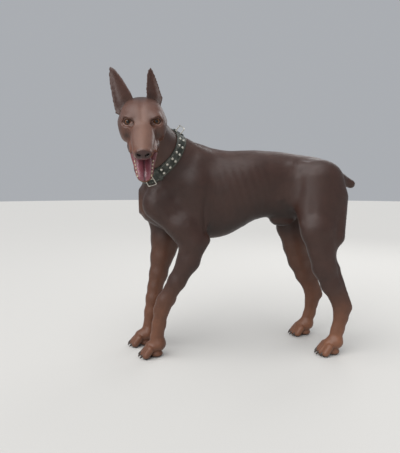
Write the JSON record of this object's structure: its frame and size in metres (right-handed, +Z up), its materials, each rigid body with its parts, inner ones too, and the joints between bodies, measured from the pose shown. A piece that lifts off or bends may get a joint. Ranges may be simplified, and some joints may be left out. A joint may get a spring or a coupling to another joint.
{
  "type": "doberman pinscher",
  "caption": "Life-size still model of a standing doberman pinscher, head turned to its left with open mouth, wearing a studded leather collar.",
  "frame": {"origin": "on the floor under the middle of the model's box", "axes": "+Z up, the body faces -X, the dog's left side faces -Y and the head is turned towards -Y"},
  "size_m": [0.823, 0.5136, 0.9086],
  "materials": {
    "coat": "short flat brown coat with rust markings",
    "eye": "wet gloss",
    "tongue": "moist",
    "collar_leather": "worn satin",
    "collar_metal": "satin nickel",
    "claw": "satin horn"
  },
  "bodies": {
    "root": {"torso": "coat", "tail": "coat", "neck": "coat", "left_foreleg": "coat", "right_foreleg": "coat", "left_thigh": "coat", "right_thigh": "coat", "left_hind_leg": "coat", "right_hind_leg": "coat", "left_fore_paw": "coat", "right_fore_paw": "coat", "left_hind_paw": "coat", "right_hind_paw": "coat", "head": "coat", "left_ear": "coat", "right_ear": "coat", "left_eye": "eye", "right_eye": "eye", "tongue": "tongue", "collar": "collar_leather", "buckle": "collar_metal", "collar_ring": "collar_metal"}
  },
  "joints": []
}
